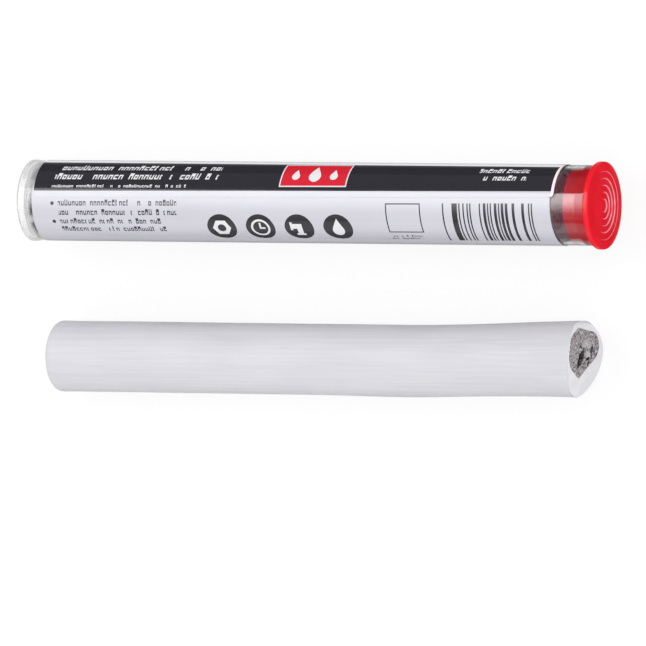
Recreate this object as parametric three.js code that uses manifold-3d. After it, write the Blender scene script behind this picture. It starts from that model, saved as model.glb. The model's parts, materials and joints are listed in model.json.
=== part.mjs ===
// Epoxy putty stick as sold: a clear tube with a wrap-round label and a push-in cap holds one
// film-wrapped stick, and a second wrapped stick lies beside it with its cut end showing.
// Millimetres, +Z up, +X along the tube towards its cap. The origin is on the surface that both
// pieces lie on, in the middle of the set.

import * as THREE from 'three';
import { mergeVertices } from 'three/addons/utils/BufferGeometryUtils.js';
import Module from 'manifold-3d';

const wasm = await Module();
wasm.setup();

// Putty stick
const WRAPPED_DIAMETER = 22.2;
const STICK_LENGTH = 178;
const LOOSE_STICK_LENGTH = 179.4;
const STICK_BACK_RADIUS = 2.2;
const FILM_THICKNESS = 0.1;
const FILM_PLAY = 0.05;

// Hardener core: off-centre, with three broad lobes and a narrow tip. Each has its own radius, the wall
// of resin outside it and the direction in which it lies, from +Y towards +Z.
const LOW_LOBE = { radius: 4, wall: 1.25, angle: THREE.MathUtils.degToRad(-43) };
const SIDE_LOBE = { radius: 4.1, wall: 2.2, angle: THREE.MathUtils.degToRad(15) };
const TOP_LOBE = { radius: 4.5, wall: 0.7, angle: THREE.MathUtils.degToRad(75) };
const CORE_TIP = { radius: 0.8, wall: 4.6, angle: THREE.MathUtils.degToRad(146) };
const CORE_CLEARANCE = 0.05;

// Cut end of the loose stick
const FLARE_GROWTH = 0.9;
const FLARE_LENGTH = 60;
const CUT_CROWN = 2.4;
const CROWN_OFFSET = 2.5;
const CUT_SLANT = THREE.MathUtils.degToRad(2.2);
const FILM_SETBACK = 0.6;
const LONG_PIT = { y: 0.3, z: 2.9, halfLength: 3.3, halfWidth: 1.2, depth: 2.6, lean: -0.87 };
const SHORT_PIT = { y: 0.5, z: -2.6, halfLength: 2, halfWidth: 0.7, depth: 1.8, lean: -0.46 };

// Tube
const STICK_CLEARANCE = 0.8;
const TUBE_WALL = 0.9;
const BASE_WEB = 0.8;
const FOOT_RECESS = 1.9;
const FOOT_STEP = 0.3;
const FOOT_WALL = 1.2;
const BASE_END_PLAY = 0.1;
const HEADSPACE = 4.3;
const REST_GAP = 0.1;

// Cap
const FLANGE_OVERHANG = 1.2;
const FLANGE_THICKNESS = 1.7;
const EDGE_FILLET = 0.4;
const RING_PITCH = 2.13;
const RING_WALL = 0.25;
const RING_DEPTH = 0.35;
const FACE_RIM = 2.9;
const PLUG_LENGTH = 7.3;
const PLUG_WALL = 1.2;
const PLUG_TAPER = 0.25;
const PLUG_LEAD = 0.6;
const PLUG_CLEARANCE = 0.05;
const SEAT_GAP = 0.05;

// Label
const LABEL_THICKNESS = 0.08;
const LABEL_GAP = 0.05;
const LABEL_LAP = 4;
const LABEL_START = 2.7;
const LABEL_MOUTH_MARGIN = 10.8;
const LABEL_SEAM_ANGLE = THREE.MathUtils.degToRad(5.5);

// How the set lies
const AXIS_SPACING = 48.6;
const LOOSE_STICK_LEAD = 8.5;
const PACKED_STICK_TURN = THREE.MathUtils.degToRad(45);

// Facets
const SIDES = 48;
const FILLET_STEPS = 2;
const FLARE_STEPS = 8;
const CORE_ARC_STEPS = 8;
const PIT_SIDES = 10;

// Derived sizes
const FILM_OFFSET = FILM_PLAY + FILM_THICKNESS;
const PUTTY_RADIUS = WRAPPED_DIAMETER / 2 - FILM_OFFSET;
const FLARED_RADIUS = WRAPPED_DIAMETER / 2 + FLARE_GROWTH;
const BORE_RADIUS = (WRAPPED_DIAMETER + STICK_CLEARANCE) / 2;
const TUBE_RADIUS = BORE_RADIUS + TUBE_WALL;
const FOOT_RADIUS = TUBE_RADIUS + FOOT_STEP;
const FOOT_LENGTH = FOOT_RECESS + BASE_WEB;
const PACKED_STICK_START = FOOT_LENGTH + BASE_END_PLAY + FILM_OFFSET;
const TUBE_LENGTH = PACKED_STICK_START + STICK_LENGTH + HEADSPACE + PLUG_LENGTH;
const CAP_START = TUBE_LENGTH + SEAT_GAP;
const FLANGE_RADIUS = TUBE_RADIUS + FLANGE_OVERHANG;
const SET_LENGTH = CAP_START + FLANGE_THICKNESS;

// The two sticks: how long, how much wider in front, and how far the blank runs on past the cut
const PACKED_STICK = { length: STICK_LENGTH, flare: 0, overrun: 0 };
const LOOSE_STICK = {
  length: LOOSE_STICK_LENGTH,
  flare: FLARE_GROWTH,
  overrun: CUT_CROWN + FLARED_RADIUS * Math.tan(CUT_SLANT),
};

const X_AXIS = new THREE.Vector3(1, 0, 0);
const Y_AXIS = new THREE.Vector3(0, 1, 0);
const Z_AXIS = new THREE.Vector3(0, 0, 1);

const plastic = (color, roughness, opacity = 1) =>
  new THREE.MeshStandardMaterial({ color, roughness, metalness: 0, opacity, transparent: opacity < 1 });

const MATERIALS = {
  clearPlastic: plastic(0xe8edf0, 0.08, 0.3),
  label: plastic(0xe2e1e8, 0.35),
  capPlastic: plastic(0xd8202f, 0.3),
  film: plastic(0xe6e5ea, 0.3, 0.4),
  resin: plastic(0xdcdbe0, 0.6),
  core: plastic(0x6c6a70, 0.85),
};

// Revolves a half outline (radius, distance along the axis) about the X axis.
function revolve(outline, sides = SIDES) {
  const turn = new THREE.Matrix4().makeBasis(Z_AXIS, X_AXIS, Y_AXIS);
  return new THREE.LatheGeometry(outline, sides).applyMatrix4(turn);
}

// Extrudes a section drawn in the YZ plane along X.
function extrudeAlongX(section, start, length, curveSegments) {
  const options = { depth: length, bevelEnabled: false, curveSegments };
  const turn = new THREE.Matrix4().makeBasis(Y_AXIS, Z_AXIS, X_AXIS);
  return new THREE.ExtrudeGeometry(section, options).applyMatrix4(turn).translate(start, 0, 0);
}

function toSolid(geometry) {
  const bare = geometry.clone();
  bare.deleteAttribute('normal');
  bare.deleteAttribute('uv');
  const merged = mergeVertices(bare, 1e-4);
  const vertProperties = new Float32Array(merged.attributes.position.array);
  const triVerts = new Uint32Array(merged.index.array);
  return new wasm.Manifold(new wasm.Mesh({ numProp: 3, vertProperties, triVerts }));
}

function toGeometry(solid) {
  const mesh = solid.getMesh();
  const geometry = new THREE.BufferGeometry();
  geometry.setAttribute('position', new THREE.BufferAttribute(mesh.vertProperties, 3));
  geometry.setIndex(new THREE.BufferAttribute(mesh.triVerts, 1));
  geometry.computeVertexNormals();
  return geometry;
}

function namedMesh(name, geometry, material) {
  const mesh = new THREE.Mesh(geometry, material.clone());
  mesh.name = name;
  return mesh;
}

// Outline round a ring of discs, listed anticlockwise: an arc on each disc, joined by tangents.
function hullOfDiscs(discs) {
  const edgeNormal = (from, to) => {
    const reach = Math.hypot(to.y - from.y, to.z - from.z);
    const heading = Math.atan2(to.z - from.z, to.y - from.y);
    return heading - Math.acos((from.radius - to.radius) / reach);
  };
  const outline = new THREE.Shape();
  discs.forEach((disc, i) => {
    const before = discs[(i + discs.length - 1) % discs.length];
    const after = discs[(i + 1) % discs.length];
    outline.absarc(disc.y, disc.z, disc.radius, edgeNormal(before, disc), edgeNormal(disc, after), false);
  });
  return outline;
}

// Section of the hardener core, grown by a clearance where it is the channel in the resin.
function coreSection(clearance = 0) {
  const disc = ({ radius, wall, angle }) => {
    const reach = PUTTY_RADIUS - wall - radius;
    return { y: reach * Math.cos(angle), z: reach * Math.sin(angle), radius: radius + clearance };
  };
  return hullOfDiscs([LOW_LOBE, SIDE_LOBE, TOP_LOBE, CORE_TIP].map(disc));
}

// Half outline of a stick from the middle of its rounded back end to its front rim, offset outwards.
function stickOutline(offset, { length, flare, overrun }) {
  const radius = PUTTY_RADIUS + offset;
  const corner = STICK_BACK_RADIUS + offset;
  const front = length + overrun;
  const outline = new THREE.Path();
  outline.moveTo(0, -offset);
  outline.lineTo(radius - corner, -offset);
  outline.absarc(radius - corner, corner - offset, corner, -Math.PI / 2, 0, false);
  if (flare > 0) {
    outline.lineTo(radius, length - FLARE_LENGTH);
    outline.quadraticCurveTo(radius, length - FLARE_LENGTH / 2, radius + flare, front);
  } else {
    outline.lineTo(radius, front);
  }
  return outline.getPoints(FLARE_STEPS / 2);
}

// Outer form of the putty, resin and core together.
function puttyForm(stick) {
  const outline = stickOutline(0, stick);
  return toSolid(revolve([...outline, new THREE.Vector2(0, stick.length + stick.overrun)]));
}

// A bar of the given section that runs out past both ends of the putty.
function throughBar(section, { length, overrun }) {
  const reach = length + 2 * STICK_BACK_RADIUS + overrun;
  return toSolid(extrudeAlongX(section, -STICK_BACK_RADIUS, reach, CORE_ARC_STEPS));
}

function resinBody(stick) {
  return puttyForm(stick).subtract(throughBar(coreSection(CORE_CLEARANCE), stick));
}

function coreBody(stick) {
  return puttyForm(stick).intersect(throughBar(coreSection(), stick));
}

// A thin cup: closed over the stick's back end, open at the front.
function filmBody(stick) {
  const outside = stickOutline(FILM_OFFSET, stick);
  const inside = stickOutline(FILM_PLAY, stick).reverse();
  return toSolid(revolve([...outside, ...inside]));
}

// All that lies behind the knife's cut: a long block whose front is slanted and crowned, off the middle.
function behindTheCut(setback) {
  const halfWidth = FLARED_RADIUS + FLARE_GROWTH;
  const crownRadius = (halfWidth ** 2 + CUT_CROWN ** 2) / (2 * CUT_CROWN);
  const crownAngle = (y) => Math.asin((y - CROWN_OFFSET) / crownRadius);
  const front = LOOSE_STICK_LENGTH - setback;
  const block = new THREE.Shape();
  block.moveTo(-halfWidth, halfWidth);
  block.lineTo(-halfWidth, -halfWidth);
  block.absarc(
    front - crownRadius, CROWN_OFFSET, crownRadius, crownAngle(-halfWidth), crownAngle(halfWidth), false,
  );
  const options = { depth: 4 * halfWidth, bevelEnabled: false, curveSegments: FLARE_STEPS };
  const geometry = new THREE.ExtrudeGeometry(block, options);
  geometry.translate(-front, 0, -2 * halfWidth).rotateY(-CUT_SLANT).translate(front, 0, 0);
  return toSolid(geometry);
}

// A torn hollow in the cut face of the core.
function tornPit({ y, z, halfLength, halfWidth, depth, lean }) {
  const pit = new THREE.SphereGeometry(1, PIT_SIDES, PIT_SIDES / 2);
  pit.scale(depth, halfLength, halfWidth).rotateX(lean);
  return toSolid(pit.translate(LOOSE_STICK_LENGTH - z * Math.tan(CUT_SLANT), y, z));
}

function packedStick() {
  const group = new THREE.Group();
  group.add(
    namedMesh('packed_stick_film', toGeometry(filmBody(PACKED_STICK)), MATERIALS.film),
    namedMesh('packed_stick_resin', toGeometry(resinBody(PACKED_STICK)), MATERIALS.resin),
    namedMesh('packed_stick_core', toGeometry(coreBody(PACKED_STICK)), MATERIALS.core),
  );
  return group;
}

function looseStick() {
  const cut = behindTheCut(0);
  const film = filmBody(LOOSE_STICK).intersect(behindTheCut(FILM_SETBACK));
  const resin = resinBody(LOOSE_STICK).intersect(cut);
  const core = [LONG_PIT, SHORT_PIT].reduce(
    (body, pit) => body.subtract(tornPit(pit)), coreBody(LOOSE_STICK).intersect(cut),
  );
  const group = new THREE.Group();
  group.add(
    namedMesh('loose_stick_film', toGeometry(film), MATERIALS.film),
    namedMesh('loose_stick_resin', toGeometry(resin), MATERIALS.resin),
    namedMesh('loose_stick_core', toGeometry(core), MATERIALS.core),
  );
  return group;
}

// One moulding: a thin tube, a base web set in from the end and a thicker foot ring round it.
function clearTube() {
  const footInside = FOOT_RADIUS - FOOT_WALL;
  const outline = new THREE.Path();
  outline.moveTo(0, FOOT_RECESS);
  outline.lineTo(footInside, FOOT_RECESS);
  outline.lineTo(footInside, 0);
  outline.absarc(FOOT_RADIUS - EDGE_FILLET, EDGE_FILLET, EDGE_FILLET, -Math.PI / 2, 0, false);
  outline.lineTo(FOOT_RADIUS, FOOT_LENGTH - FOOT_STEP);
  outline.lineTo(TUBE_RADIUS, FOOT_LENGTH);
  outline.lineTo(TUBE_RADIUS, TUBE_LENGTH);
  outline.lineTo(BORE_RADIUS, TUBE_LENGTH);
  outline.lineTo(BORE_RADIUS, FOOT_LENGTH + EDGE_FILLET);
  outline.lineTo(BORE_RADIUS - EDGE_FILLET, FOOT_LENGTH);
  outline.lineTo(0, FOOT_LENGTH);
  return namedMesh('clear_tube', revolve(outline.getPoints(FILLET_STEPS)), MATERIALS.clearPlastic);
}

// A strip rolled round the tube as a slow spiral, so that its last edge laps over its first.
function tubeLabel() {
  const innerRadius = TUBE_RADIUS + LABEL_GAP;
  const rise = LABEL_THICKNESS + LABEL_GAP;
  const lapTurn = LABEL_LAP / TUBE_RADIUS;
  const wrap = 2 * Math.PI + lapTurn;
  const steps = Math.ceil((SIDES * wrap) / (2 * Math.PI));
  const edge = (offset) => Array.from({ length: steps + 1 }, (_, i) => {
    const turn = (wrap * i) / steps;
    const radius = innerRadius + offset + (rise * turn) / (2 * Math.PI);
    const angle = LABEL_SEAM_ANGLE + lapTurn - turn;
    return new THREE.Vector2(radius * Math.sin(angle), radius * Math.cos(angle));
  });
  const section = new THREE.Shape([...edge(0), ...edge(LABEL_THICKNESS).reverse()]);
  const start = FOOT_LENGTH + LABEL_START;
  const length = TUBE_LENGTH - LABEL_MOUTH_MARGIN - start;
  return namedMesh('tube_label', extrudeAlongX(section, start, length, 1), MATERIALS.label);
}

// A flange with saw-tooth rings on its face, over a hollow plug that tapers towards its lead-in edge.
function endCap() {
  const plugRoot = BORE_RADIUS - PLUG_CLEARANCE;
  const plugTip = plugRoot - PLUG_TAPER;
  const ringCount = Math.floor((FLANGE_RADIUS - FACE_RIM) / RING_PITCH);
  const outline = new THREE.Path();
  outline.moveTo(0, 0);
  outline.lineTo(plugRoot - PLUG_WALL, 0);
  outline.lineTo(plugTip - PLUG_WALL, -PLUG_LENGTH);
  outline.lineTo(plugTip - PLUG_LEAD, -PLUG_LENGTH);
  outline.lineTo(plugTip, PLUG_LEAD - PLUG_LENGTH);
  outline.lineTo(plugRoot, -PLUG_LEAD);
  outline.lineTo(plugRoot, 0);
  outline.absarc(FLANGE_RADIUS - EDGE_FILLET, EDGE_FILLET, EDGE_FILLET, -Math.PI / 2, 0, false);
  outline.absarc(
    FLANGE_RADIUS - EDGE_FILLET, FLANGE_THICKNESS - EDGE_FILLET, EDGE_FILLET, 0, Math.PI / 2, false,
  );
  for (let ring = ringCount; ring >= 1; ring -= 1) {
    outline.lineTo(ring * RING_PITCH, FLANGE_THICKNESS);
    outline.lineTo(ring * RING_PITCH - RING_WALL, FLANGE_THICKNESS - RING_DEPTH);
  }
  outline.lineTo(0, FLANGE_THICKNESS);
  const cap = namedMesh('end_cap', revolve(outline.getPoints(FILLET_STEPS)), MATERIALS.capPlastic);
  cap.position.x = CAP_START;
  return cap;
}

// Lays a round piece on the surface: it touches at its back rim and, further along, at a wider rim.
function layDown(group, { backRadius, frontRadius, reach, rimFillet }) {
  const tilt = Math.atan((frontRadius - backRadius) / reach);
  group.rotation.y = -tilt;
  group.position.z = rimFillet + (backRadius - rimFillet) * Math.cos(tilt) - rimFillet * Math.sin(tilt);
}

const packed = packedStick();
packed.rotation.x = PACKED_STICK_TURN;
packed.position.set(PACKED_STICK_START, 0, REST_GAP - STICK_CLEARANCE / 2);

const cappedTube = new THREE.Group();
cappedTube.add(clearTube(), tubeLabel(), endCap(), packed);
layDown(cappedTube, {
  backRadius: FOOT_RADIUS, frontRadius: FLANGE_RADIUS, reach: CAP_START, rimFillet: EDGE_FILLET,
});

const loose = looseStick();
layDown(loose, {
  backRadius: WRAPPED_DIAMETER / 2,
  frontRadius: FLARED_RADIUS,
  reach: LOOSE_STICK_LENGTH,
  rimFillet: STICK_BACK_RADIUS,
});

const tubeY = (AXIS_SPACING + FLARED_RADIUS - FLANGE_RADIUS) / 2;
cappedTube.position.setX(-SET_LENGTH / 2).setY(tubeY);
loose.position.setX(LOOSE_STICK_LEAD - SET_LENGTH / 2).setY(tubeY - AXIS_SPACING);

const puttyStickSet = new THREE.Group();
puttyStickSet.add(cappedTube, loose);

export default puttyStickSet;
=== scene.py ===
"""Looks of an epoxy putty stick set: a capped clear tube with its label and stick, and a cut loose stick."""

import json
import logging
import math
from abc import ABC, abstractmethod
from collections.abc import Callable, Iterable, Sequence
from dataclasses import dataclass, field
from enum import Enum

import bmesh
import bpy
from mathutils import Matrix, Vector, noise


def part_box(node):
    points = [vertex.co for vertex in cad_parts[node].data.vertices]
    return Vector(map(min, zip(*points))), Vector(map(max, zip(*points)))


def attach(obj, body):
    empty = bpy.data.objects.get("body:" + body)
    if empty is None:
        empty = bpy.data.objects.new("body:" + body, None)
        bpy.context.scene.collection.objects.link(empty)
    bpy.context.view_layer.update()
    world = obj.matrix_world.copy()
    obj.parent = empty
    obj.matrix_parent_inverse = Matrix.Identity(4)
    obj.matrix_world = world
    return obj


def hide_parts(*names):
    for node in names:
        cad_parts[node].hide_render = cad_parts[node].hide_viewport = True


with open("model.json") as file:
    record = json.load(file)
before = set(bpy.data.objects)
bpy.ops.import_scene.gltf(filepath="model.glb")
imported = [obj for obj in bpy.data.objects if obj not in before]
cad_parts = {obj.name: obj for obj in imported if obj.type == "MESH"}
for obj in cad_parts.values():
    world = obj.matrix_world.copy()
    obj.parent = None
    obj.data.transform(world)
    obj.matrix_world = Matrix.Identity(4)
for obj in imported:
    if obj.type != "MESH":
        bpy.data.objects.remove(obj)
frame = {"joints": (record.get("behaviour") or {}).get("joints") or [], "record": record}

LOG = logging.getLogger("putty_stick")
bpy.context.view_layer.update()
MM = 0.001
MM_PER_METRE = 1000.0
PRINT_MAP = "print"
TORN_MARK = "torn"
TORN_PLAIN = 0.5
SHARP_ANGLE = math.radians(40.0)
ROUNDED_ANGLE = math.radians(28.0)
MERGE_DISTANCE = 1e-4 * MM
PLASTIC_IOR = 1.5
X_AXIS = Vector((1.0, 0.0, 0.0))

# Ranges that masks and noise are carried from or to
RISING = (0.0, 1.0)
FALLING = (1.0, 0.0)
EVEN = (0.3, 0.7)
PATCHY = (0.35, 0.7)

Colour = tuple[float, float, float]
Range = tuple[float, float]
Outline = Sequence[Range]
Socket = bpy.types.NodeSocket
RadiusAt = Callable[[float, float], float]
FaceHeight = Callable[[float, float, float], float]


class Body(Enum):
    """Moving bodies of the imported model."""

    TUBE = "tube"
    CAP = "cap"
    PACKED_STICK = "packed_stick"
    LOOSE_STICK = "loose_stick"


class Slot(Enum):
    """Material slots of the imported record."""

    CLEAR_PLASTIC = "clear_plastic"
    LABEL = "label"
    CAP_PLASTIC = "cap_plastic"
    FILM = "film"
    RESIN = "resin"
    CORE = "core"


class FrontEnd(Enum):
    """How a stick's front end looks."""

    SQUARE = "square"
    CUT = "cut"


@dataclass(frozen=True)
class Cloud:
    """Soft noise: its features a metre, its detail, and its scale along the piece against that across it."""

    scale: float
    detail: float = 2.0
    along: float = 1.0


class NodeSet:
    """A node tree, with short ways to add and join nodes."""

    def __init__(self, tree: bpy.types.NodeTree) -> None:
        """Take up the tree of a material or a world."""
        self.tree = tree

    def feed(self, socket: Socket, value: object) -> None:
        """Link a socket's value, or set it where the value is plain.

        Args:
            socket: Input to be fed.
            value: Socket to link, or a plain value.
        """
        if isinstance(value, Socket):
            self.tree.links.new(value, socket)
        else:
            socket.default_value = value

    def node(
        self, kind: str, inputs: dict[str | int, object] | None = None, **settings: object
    ) -> bpy.types.Node:
        """Add a node.

        Args:
            kind: Blender's name of the node type.
            inputs: Values or sockets for its inputs, by name or index.
            settings: The node's own properties.

        Returns:
            The new node.
        """
        made = self.tree.nodes.new(kind)
        for key, value in settings.items():
            setattr(made, key, value)
        for key, value in (inputs or {}).items():
            self.feed(made.inputs[key], value)
        return made

    def math(self, operation: str, *values: object, clamp: bool = False) -> Socket:
        """Return the result of one arithmetic step on numbers or sockets."""
        step = self.node("ShaderNodeMath", dict(enumerate(values)), operation=operation, use_clamp=clamp)
        return step.outputs[0]

    def mix(self, amount: object, first: object, second: object) -> Socket:
        """Blend two colours.

        Args:
            amount: Share of the second colour, from 0 to 1.
            first: First colour, plain or a socket.
            second: Second colour, plain or a socket.

        Returns:
            The blended colour.
        """
        ends = [value if isinstance(value, Socket) else (*value, 1.0) for value in (first, second)]
        blend = self.node("ShaderNodeMix", {0: amount, 6: ends[0], 7: ends[1]}, data_type="RGBA")
        return blend.outputs[2]

    def spread(self, value: object, source: Range, target: tuple[object, object]) -> Socket:
        """Return a value carried from one range to another and held inside it."""
        inputs = {0: value, 1: source[0], 2: source[1], 3: target[0], 4: target[1]}
        return self.node("ShaderNodeMapRange", inputs).outputs[0]

    def rays(self) -> tuple[Socket, Socket]:
        """Tell apart the rays that reach a floor or a room.

        Returns:
            1 for rays seen straight or through clear plastic, and 1 for rays that were mirrored.
        """
        path = self.node("ShaderNodeLightPath").outputs
        straight = self.math("MAXIMUM", path["Is Camera Ray"], path["Is Transmission Ray"])
        return straight, self.math("MINIMUM", path["Glossy Depth"], 1.0)


class Shader(NodeSet):
    """A material's nodes round a principled surface."""

    def __init__(self, name: str) -> None:
        """Start a material.

        Args:
            name: Name of the material.
        """
        self.material = bpy.data.materials.new(name)
        self.material.use_nodes = True
        super().__init__(self.material.node_tree)
        self.surface = self.tree.nodes["Principled BSDF"]
        self.output = self.tree.nodes["Material Output"]

    def set(self, **inputs: object) -> None:
        """Set the surface's sockets, named with underscores for spaces."""
        for key, value in inputs.items():
            self.feed(self.surface.inputs[key.replace("_", " ")], value)

    def place(self, stretch: Colour = (1.0, 1.0, 1.0)) -> Socket:
        """Return the piece's own coordinates in metres, times a stretch."""
        origin = self.node("ShaderNodeTexCoord").outputs["Object"]
        return self.node("ShaderNodeMapping", {"Vector": origin, "Scale": stretch}).outputs[0]

    def axis(self, name: str) -> Socket:
        """Return one of the piece's own coordinates in metres."""
        return self.node("ShaderNodeSeparateXYZ", {0: self.place()}).outputs[name]

    def cloud(self, pattern: Cloud) -> Socket:
        """Add soft noise on the piece's own coordinates.

        Args:
            pattern: Scale, detail and stretch of the noise.

        Returns:
            The noise, from 0 to 1.
        """
        place = self.place((pattern.along, 1.0, 1.0))
        inputs = {"Vector": place, "Scale": pattern.scale, "Detail": pattern.detail}
        return self.node("ShaderNodeTexNoise", inputs).outputs[0]

    def bump(self, height: Socket, depth: float) -> None:
        """Raise the surface's shading by a height map of the given depth in metres."""
        self.set(Normal=self.node("ShaderNodeBump", {"Distance": depth, "Height": height}).outputs[0])


class Finish(ABC):
    """A surface that can be put on a piece."""

    @abstractmethod
    def make(self) -> bpy.types.Material:
        """Build the material.

        Returns:
            The material.
        """


@dataclass(frozen=True)
class ClearPlastic(Finish):
    """Clear moulded plastic with faint handling scuffs, clearest at the foot."""

    foot_end: float
    foot_cover: float = 0.42
    cover: float = 0.93
    foot_fade: float = 0.4 * MM
    tint: Colour = (0.985, 0.983, 0.99)
    scuffs: Cloud = Cloud(420.0, 4.0, 0.25)
    scuffed: Range = (0.45, 0.75)
    roughness: Range = (0.015, 0.05)
    coat_roughness: float = 0.02
    waves: Cloud = Cloud(60.0, 1.0, 0.3)
    wave_depth: float = 0.02 * MM

    def make(self) -> bpy.types.Material:
        """Build the material.

        Returns:
            The material.
        """
        shader = Shader("clear_plastic")
        past_foot = (self.foot_end, self.foot_end + self.foot_fade)
        shader.set(
            Base_Color=(*self.tint, 1.0),
            Transmission_Weight=1.0,
            IOR=PLASTIC_IOR,
            Roughness=shader.spread(shader.cloud(self.scuffs), self.scuffed, self.roughness),
            Coat_Weight=1.0,
            Coat_Roughness=self.coat_roughness,
            Alpha=shader.spread(shader.axis("X"), past_foot, (self.foot_cover, self.cover)),
        )
        shader.bump(shader.cloud(self.waves), self.wave_depth)
        return shader.material


@dataclass(frozen=True)
class CapPlastic(Finish):
    """Translucent red moulded polythene, with light painted into the plug: a brighter red where it sits in
    the tube, and pinker at its thin tip, where light shines through.
    """

    tip: float
    mouth: float
    lip: float = 1.8 * MM
    mouth_fade: float = 0.3 * MM
    light: Colour = (0.71, 0.012, 0.028)
    deep: Colour = (0.63, 0.008, 0.018)
    plug: Colour = (0.96, 0.006, 0.02)
    pink: Colour = (0.98, 0.006, 0.13)
    scatter: float = 0.8
    scatter_depth: float = 3.0 * MM
    scatter_reach: Colour = (1.0, 0.25, 0.2)
    flow: Cloud = Cloud(140.0, 3.0)
    grain: Cloud = Cloud(2600.0)
    grain_depth: float = 0.004 * MM
    roughness: Range = (0.15, 0.22)

    def make(self) -> bpy.types.Material:
        """Build the material.

        Returns:
            The material.
        """
        shader = Shader("cap_plastic")
        flow, grain = shader.cloud(self.flow), shader.cloud(self.grain)
        body = shader.mix(shader.spread(flow, EVEN, RISING), self.light, self.deep)
        # Painted light: the plug is a brighter red than the flange, standing in for the light inside the
        # tube, and pinker at its thin tip, standing in for light through the thin edge.
        lit_plug = shader.spread(shader.axis("X"), (self.mouth - self.mouth_fade, self.mouth), FALLING)
        body = shader.mix(lit_plug, body, self.plug)
        lit_tip = shader.spread(shader.axis("X"), (self.tip, self.tip + self.lip), FALLING)
        shader.set(
            Base_Color=shader.mix(lit_tip, body, self.pink),
            Roughness=shader.spread(grain, EVEN, self.roughness),
            IOR=PLASTIC_IOR,
            Subsurface_Weight=self.scatter,
            Subsurface_Radius=self.scatter_reach,
            Subsurface_Scale=self.scatter_depth,
        )
        shader.bump(grain, self.grain_depth)
        return shader.material


@dataclass(frozen=True)
class RingHighlight(Finish):
    """Steep walls of the cap's rings, painted pale pink as a highlight where they catch the light, duller
    where noise breaks it up.
    """

    light: Colour = (0.95, 0.3, 0.36)
    dull: Colour = (0.88, 0.14, 0.19)
    highlight_breakup: Cloud = Cloud(330.0, 3.0)
    highlight_breakup_span: Range = (0.4, 0.65)
    roughness: Range = (0.2, 0.3)

    def make(self) -> bpy.types.Material:
        """Build the material.

        Returns:
            The material.
        """
        shader = Shader("ring_edge")
        highlight_breakup = shader.cloud(self.highlight_breakup)
        # The base colour is a painted highlight on the ring walls: pale pink, broken up by noise into a
        # duller pink.
        shader.set(
            Base_Color=shader.mix(shader.spread(highlight_breakup, self.highlight_breakup_span, RISING), self.light, self.dull),
            Roughness=shader.spread(highlight_breakup, EVEN, self.roughness),
            IOR=PLASTIC_IOR,
        )
        return shader.material


@dataclass(frozen=True)
class MilkyFilm(Finish):
    """Thin milky wrapping film with faint draw lines, and near-black painted shade in the folds of a gathered
    end, darkest towards -Y.
    """

    name: str
    tint: Colour = (0.73, 0.725, 0.765)
    crease_tint: Colour = (0.66, 0.655, 0.695)
    # Near-black colour of the painted shade in the folds of a gathered end.
    overlay_colour: Colour = (0.035, 0.033, 0.037)
    cover: float = 0.6
    cover_spread: float = 0.03
    end_shade_before: float | None = None
    end_shade_length: float = 1.0 * MM
    end_shade_below: float = 0.0
    end_shade_edge: float = 3.0 * MM
    end_shade_sides: Range = (1.0, 0.1)
    blots: Cloud = Cloud(480.0, 3.0)
    blotted: Range = (0.4, 0.48)
    blot_cover: float = 0.95
    streaks: Cloud = Cloud(900.0, 4.0, 0.03)
    streaked: Range = (0.35, 0.65)
    streak_height: float = 0.1
    creases: Cloud = Cloud(120.0, 3.0, 0.35)
    crease_share: float = 0.5
    crease_depth: float = 0.12 * MM
    roughness: Range = (0.36, 0.5)
    specular: float = 0.35

    def make(self) -> bpy.types.Material:
        """Build the material.

        Returns:
            The material.
        """
        shader = Shader(self.name)
        streaks, creases = shader.cloud(self.streaks), shader.cloud(self.creases)
        creased = shader.spread(creases, PATCHY, (0.0, self.crease_share))
        colour = shader.mix(creased, self.tint, self.crease_tint)
        limits = (self.cover - self.cover_spread, self.cover + self.cover_spread)
        cover = shader.spread(streaks, self.streaked, limits)
        # Painted shade: near-black blots in the folds near a gathered end, darkest towards -Y, where the film
        # is also made opaque.
        if self.end_shade_before is not None:
            end_shade = self.end_shade(shader)
            colour = shader.mix(end_shade, colour, self.overlay_colour)
            cover = shader.math("ADD", cover, end_shade, clamp=True)
        shader.set(
            Base_Color=colour,
            Alpha=cover,
            Roughness=shader.spread(streaks, EVEN, self.roughness),
            Specular_IOR_Level=self.specular,
        )
        height = shader.math("ADD", shader.math("MULTIPLY", streaks, self.streak_height), creases)
        shader.bump(height, self.crease_depth)
        return shader.material

    def end_shade(self, shader: Shader) -> Socket:
        """Paint shade into the folds near the gathered end, darkest towards -Y.

        Args:
            shader: Material that the mask is drawn in.

        Returns:
            The mask.
        """
        reach = (self.end_shade_before - self.end_shade_length, self.end_shade_before)
        near_end = shader.spread(shader.axis("X"), reach, FALLING)
        below = (self.end_shade_below - self.end_shade_edge, self.end_shade_below + self.end_shade_edge)
        low_side = shader.spread(shader.axis("Y"), below, self.end_shade_sides)
        blots = shader.spread(shader.cloud(self.blots), self.blotted, (0.0, self.blot_cover))
        return shader.math("MULTIPLY", shader.math("MULTIPLY", near_end, low_side), blots)


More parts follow.
